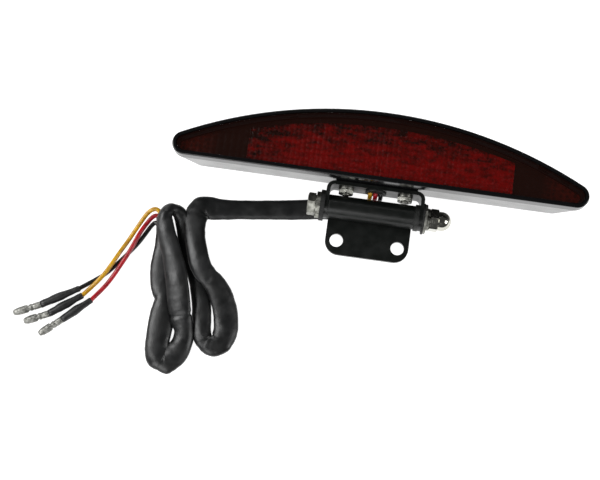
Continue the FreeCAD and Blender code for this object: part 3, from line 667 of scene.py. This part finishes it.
def pillow_optics():
    """Red pillow lenses: painted glints as bright specks, dark patches between, painted shade above and at
    the left end.
    """
    material, tree, shader, place = start_finish("red_pillow_optics_painted_light", "#A00C14", 0.22, ior=1.49)
    flat = add_node(tree, "ShaderNodeMapping", {"Vector": place, "Scale": (1.0, 2.2, 1.0)})
    # painted light: coarse bright streaks, with fine specks added on top as painted glints
    painted_light_streaks = add_node(tree, "ShaderNodeTexNoise", {"Vector": flat.outputs[0], "Scale": per_mm(6),
                                                    "Detail": 1.5})
    painted_glints = add_node(tree, "ShaderNodeTexNoise", {"Vector": place, "Scale": per_mm(1.1), "Detail": 1.0})
    painted_light_mix = add_node(tree, "ShaderNodeMath", {0: painted_glints.outputs[0], 1: 0.45, 2: painted_light_streaks.outputs[0]},
                     operation="MULTIPLY_ADD")
    split = add_node(tree, "ShaderNodeSeparateXYZ", {"Vector": place})
    # painted shade: darker towards the top of the block
    height = add_node(tree, "ShaderNodeMapRange", {"Value": split.outputs[1], "From Min": 0.008,
                                                   "From Max": 0.028, "To Min": 0.06, "To Max": -0.32})
    # painted shade: darker towards the left end
    edge = add_node(tree, "ShaderNodeMapRange", {"Value": split.outputs[0], "From Min": -0.068,
                                                 "From Max": -0.040, "To Min": -0.4, "To Max": 0.0})
    lifted = add_node(tree, "ShaderNodeMath", {0: painted_light_mix.outputs[0], 1: height.outputs[0]}, operation="ADD")
    placed = add_node(tree, "ShaderNodeMath", {0: lifted.outputs[0], 1: edge.outputs[0]}, operation="ADD")
    # the painted light and shade run from a dark red to a bright red
    ramp = add_node(tree, "ShaderNodeValToRGB", {"Fac": placed.outputs[0]})
    ramp.color_ramp.elements[0].position = 0.32
    ramp.color_ramp.elements[0].color = linear("#240906")
    ramp.color_ramp.elements[1].position = 0.82
    ramp.color_ramp.elements[1].color = linear("#F0080E")
    tree.links.new(ramp.outputs[0], shader.inputs["Base Color"])
    vary(tree, shader, "Roughness", place, 3, 0.12, 0.35)
    return material


def painted_shade_moulding():
    """The same moulding, painted nearly black as shade where nothing bright lies behind it, with painted
    light at the tips.
    """
    # painted shade: the nearly black base colour stands in for the shade behind the moulding
    material, tree, shader, place = start_finish("red_moulding_painted_shade", "#2C1A12", 0.3, ior=1.49)
    split = add_node(tree, "ShaderNodeSeparateXYZ", {"Vector": place})
    off_centre = add_node(tree, "ShaderNodeMath", {0: split.outputs[0]}, operation="ABSOLUTE")
    # painted light: redder in patches towards the tips
    painted_tip_light = add_node(tree, "ShaderNodeMapRange", {"Value": off_centre.outputs[0], "From Min": 0.078,
                                                "From Max": 0.096})
    painted_light_cells = add_node(tree, "ShaderNodeTexVoronoi", {"Vector": place, "Scale": per_mm(2.0),
                                                    "Randomness": 0.5})
    painted_tip_glow = add_node(tree, "ShaderNodeMath", {0: painted_tip_light.outputs[0], 1: painted_light_cells.outputs["Distance"]},
                    operation="MULTIPLY")
    ramp = add_node(tree, "ShaderNodeValToRGB", {"Fac": painted_tip_glow.outputs[0]})
    ramp.color_ramp.elements[0].color = linear("#2C1A12")
    ramp.color_ramp.elements[1].position = 0.6
    ramp.color_ramp.elements[1].color = linear("#9A2A1C")
    tree.links.new(ramp.outputs[0], shader.inputs["Base Color"])
    return material


lens_red = dyed_pmma()
optics_painted_light = pillow_optics()
moulding_painted_shade = painted_shade_moulding()
print("optics:", lens_red.name, optics_painted_light.name, moulding_painted_shade.name)

# %% [markdown]
# ### Painted steel
#
# The bracket and the plate are pressed from sheet steel and powder coated. The powder melts to a
# satin skin with the fine dimples that are called orange peel, 0.3 to 0.6 mm across.

# %% Powder coat

def powder_coat():
    """Satin black powder coat: soft broad highlights, fine orange peel."""
    material, tree, shader, place = start_finish("satin_black_powder_coat", "#070A08", 0.36, ior=1.5)
    vary(tree, shader, "Roughness", place, 5, 0.3, 0.4)
    add_grain(tree, shader, place, 0.5, 0.02)
    return material


coat = powder_coat()
print("paint:", coat.name)

# %% [markdown]
# ### Plated fasteners
#
# The bolt, nuts and washers are steel with bright zinc: white-grey, a little cloudy, with the fine
# marks of forming and tumbling. The cap nut is nickel-chrome plated and close to a mirror. The
# bullets are brass dipped in tin, which is softer and duller.

# %% Metals

def zinc_plated():
    """Bright zinc on steel: cloudy patches a few millimetres across over fine forming marks."""
    material, tree, shader, place = start_finish("bright_zinc_plated_steel", "#9E9E97", 0.42, metallic=1.0)
    vary(tree, shader, "Roughness", place, 1.6, 0.34, 0.52)
    vary_colour(tree, shader, place, 2.2, "#74746E", "#A2A29B")
    add_grain(tree, shader, place, 0.35, 0.012)
    return material


def chrome_plated():
    """Polished nickel and chrome: nearly a mirror, with a faint warm tint."""
    material, tree, shader, place = start_finish("polished_nickel_chrome", "#C4C3BA", 0.12, metallic=1.0)
    vary(tree, shader, "Roughness", place, 2, 0.09, 0.17)
    return material


def tinned_brass():
    """Hot-tinned brass: pale grey, soft, with small drips and scuffs."""
    material, tree, shader, place = start_finish("tinned_brass", "#A4A49F", 0.5, metallic=1.0)
    vary(tree, shader, "Roughness", place, 0.8, 0.42, 0.6)
    vary_colour(tree, shader, place, 1.2, "#74746F", "#A4A49F")
    add_grain(tree, shader, place, 0.6, 0.03)
    return material


zinc = zinc_plated()
chrome = chrome_plated()
tin = tinned_brass()
print("metals:", zinc.name, chrome.name, tin.name)

# %% [markdown]
# ### Rubber, sleeve and wires
#
# Rubber is matt because its surface is full of fine pits. The sleeve is soft PVC: extruded smooth,
# then scuffed by handling, so its sheen comes and goes over a few millimetres. The wire insulation is
# harder PVC with a clear gloss, and the shrink boots are polyolefin, which goes slightly matt as it
# shrinks.

# %% Soft plastics and rubber

def moulded_rubber():
    """Black EPDM: matt, with fine pits."""
    material, tree, shader, place = start_finish("black_epdm_rubber", "#090A09", 0.62, ior=1.5)
    add_grain(tree, shader, place, 0.25, 0.015)
    vary(tree, shader, "Roughness", place, 2, 0.52, 0.72)
    return material


def extruded_pvc_sleeve():
    """Soft black PVC: satin, with scuffs and the faint wrinkles of folding."""
    material, tree, shader, place = start_finish("satin_black_pvc_sleeve", "#090A0B", 0.4, ior=1.52)
    vary(tree, shader, "Roughness", place, 6, 0.34, 0.48)
    vary_colour(tree, shader, place, 9, "#070808", "#0E0F10")
    add_grain(tree, shader, place, 1.6, 0.05, detail=4.0)
    return material


def wire_insulation(name, colour, darker):
    """Thin PVC insulation: even colour, glossy, faintly uneven over the strands."""
    material, tree, shader, place = start_finish(name, colour, 0.28, ior=1.53)
    vary_colour(tree, shader, place, 3, darker, colour)
    add_grain(tree, shader, place, 0.9, 0.02)
    return material


def shrunk_polyolefin():
    """Heat-shrink tubing: black, half matt, rippled where it shrank over the crimp."""
    material, tree, shader, place = start_finish("black_shrunk_polyolefin", "#121212", 0.46, ior=1.5)
    add_grain(tree, shader, place, 1.0, 0.06)
    vary(tree, shader, "Roughness", place, 1.5, 0.36, 0.56)
    return material


rubber = moulded_rubber()
pvc = extruded_pvc_sleeve()
shrink = shrunk_polyolefin()
insulation = {
    "yellow": wire_insulation("yellow_pvc_insulation", "#D09E14", "#A87A0C"),
    "red": wire_insulation("red_pvc_insulation", "#AE101E", "#8C0C18"),
    "black": wire_insulation("black_pvc_insulation", "#141414", "#0C0C0C"),
}
print("soft plastics:", rubber.name, pvc.name, shrink.name, len(insulation))

# %% [markdown]
# ### Inside the lamp
#
# Nobody sees these unless the lens is off, but each still gets its own finish: a vacuum-metallised
# tray, a green solder mask, red LED epoxy, and resistors and diodes with their bands.

# %% Inner parts

def metallised_tray():
    """Vacuum-metallised ABS: bright, slightly hazy."""
    material, tree, shader, place = start_finish("vacuum_metallised_abs", "#C9CACC", 0.16, metallic=1.0)
    vary(tree, shader, "Roughness", place, 4, 0.12, 0.22)
    return material


def solder_mask():
    """Green solder mask over copper tracks: glossy, with lighter lines where the copper runs."""
    material, tree, shader, place = start_finish("green_solder_mask", "#0E4A26", 0.3, ior=1.5)
    tracks = add_node(tree, "ShaderNodeTexWave", {"Vector": place, "Scale": per_mm(22), "Distortion": 0.0},
                      bands_direction="Y")
    ramp = add_node(tree, "ShaderNodeValToRGB", {"Fac": tracks.outputs[0]})
    ramp.color_ramp.elements[0].position = 0.55
    ramp.color_ramp.elements[0].color = linear("#0B3F20")
    ramp.color_ramp.elements[1].position = 0.6
    ramp.color_ramp.elements[1].color = linear("#1A6A38")
    tree.links.new(ramp.outputs[0], shader.inputs["Base Color"])
    return material


def led_epoxy():
    """Red-tinted cast epoxy, slightly cloudy over the chip."""
    material, tree, shader, place = start_finish("red_led_epoxy", "#B3141A", 0.1, ior=1.55)
    vary_colour(tree, shader, place, 2, "#8C0D13", "#C2222A")
    return material


def banded_body(name, colour, band, spacing):
    """A small component's lacquer with bands of a second colour round it."""
    material, tree, shader, place = start_finish(name, colour, 0.35, ior=1.5)
    rings = add_node(tree, "ShaderNodeTexWave", {"Vector": place, "Scale": math.pi / (10 * spacing * MM)},
                     bands_direction="X")
    ramp = add_node(tree, "ShaderNodeValToRGB", {"Fac": rings.outputs[0]})
    ramp.color_ramp.interpolation = "CONSTANT"
    ramp.color_ramp.elements[0].color = linear(colour)
    ramp.color_ramp.elements[1].position = 0.85
    ramp.color_ramp.elements[1].color = linear(band)
    tree.links.new(ramp.outputs[0], shader.inputs["Base Color"])
    return material


tray_metal = metallised_tray()
board_green = solder_mask()
led_red = led_epoxy()
resistor_lacquer = banded_body("beige_resistor_lacquer", "#B89B6A", "#5B2E16", 1.3)
diode_epoxy = banded_body("black_diode_epoxy", "#141414", "#B9B9B9", 2.6)
print("inner parts: 5 finishes")

# %% [markdown]
# ## Give every piece its finish
#
# The imported nodes keep their meshes and only get a new material in each slot. The new pieces get
# their material directly; each is also listed with the name of a record slot, which nothing here reads.

# %% Assign the finishes
NODE_FINISHES = {
    "housing": abs_black, "lens": lens_red, "lens_seal": rubber, "reflector_tray": tray_metal,
    "circuit_board": board_green, "leds": led_red, "resistors": resistor_lacquer,
    "input_diodes": diode_epoxy, "board_screws": zinc, "clevis_bracket": coat, "mount_plate": coat,
    "bracket_studs": zinc, "stud_lock_washers": zinc, "stud_nuts": zinc, "bush_left": nylon,
    "bush_right": nylon, "spacer_washer": nylon, "pivot_bolt": zinc, "black_washer_left": rubber,
    "steel_washer_left": zinc, "black_washer_right": rubber, "steel_washer_right": zinc,
    "spring_washer": zinc, "cap_nut": chrome, "cable_grommet": rubber,
    "lead_yellow": insulation["yellow"], "lead_red": insulation["red"], "lead_black": insulation["black"],
}


def paint(piece, material):
    """Puts one material in every slot of a piece."""
    if not piece.data.materials:
        piece.data.materials.append(material)
    for slot in piece.material_slots:
        slot.material = material


for node_name, material in NODE_FINISHES.items():
    paint(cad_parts[node_name], material)

new_pieces = [
    (sleeve, pvc, "black_pvc_sleeve"), (insert, optics_painted_light, "red_lens"), (mask, moulding_painted_shade, "red_lens"),
]
for colour in WIRE_ROUTES:
    new_pieces.append((wires[colour], insulation[colour], colour + "_wire"))
    new_pieces.append((boots[colour], shrink, "shrink_boot"))
    new_pieces.append((bullets[colour], tin, "tinned_brass"))
for piece, material, slot_name in new_pieces:
    paint(piece, material)
print("finished", len(NODE_FINISHES), "nodes and", len(new_pieces), "new pieces")

# %% [markdown]
# ## Table and light
#
# The lamp lies on a plain white light table, so the black gloss wall mirrors a white ground and the
# shadows stay faint. Large soft boxes give broad, quiet highlights.

# %% Table

def make_table():
    bm = bmesh.new()
    bmesh.ops.create_grid(bm, x_segments=1, y_segments=1, size=3)
    bmesh.ops.translate(bm, vec=(0, 0, -0.0002), verts=bm.verts)
    table = finish_mesh(bm, "white_table")
    material, tree, shader, place = start_finish("lit_white_acrylic", "#A8A8A8", 0.6)
    shader.inputs["Emission Color"].default_value = linear("#FFFFFF")
    shader.inputs["Emission Strength"].default_value = 0.95
    paint(table, material)
    bpy.context.scene.collection.objects.link(table)
    return table


table = make_table()
print("table at z", round(table.data.vertices[0].co.z, 5))

# %% Lights

def soft_box(name, place, size, watts):
    """A square area light aimed at the lamp."""
    data = bpy.data.lights.new(name, "AREA")
    data.size = size
    data.energy = watts
    lamp = bpy.data.objects.new(name, data)
    lamp.location = place
    aim = Vector(place) - TARGET
    lamp.rotation_euler = aim.to_track_quat("Z", "Y").to_euler()
    bpy.context.scene.collection.objects.link(lamp)
    return lamp


def make_sky(strength):
    world = bpy.data.worlds.new("studio")
    world.use_nodes = True
    background = world.node_tree.nodes["Background"]
    background.inputs["Color"].default_value = linear("#FFFFFF")
    background.inputs["Strength"].default_value = strength
    bpy.context.scene.world = world


soft_box("soft_front", (-0.5, -1.1, 0.9), 0.9, 11)
soft_box("soft_side", (1.2, -0.2, 0.8), 0.7, 8)
soft_box("soft_left", (-1.1, 0.1, 1.0), 0.8, 15)
soft_box("soft_back", (-0.2, 1.1, 0.7), 0.8, 5)
make_sky(0.06)
bpy.context.scene.view_settings.view_transform = "Standard"
print("lights: 4 soft boxes and an even sky")
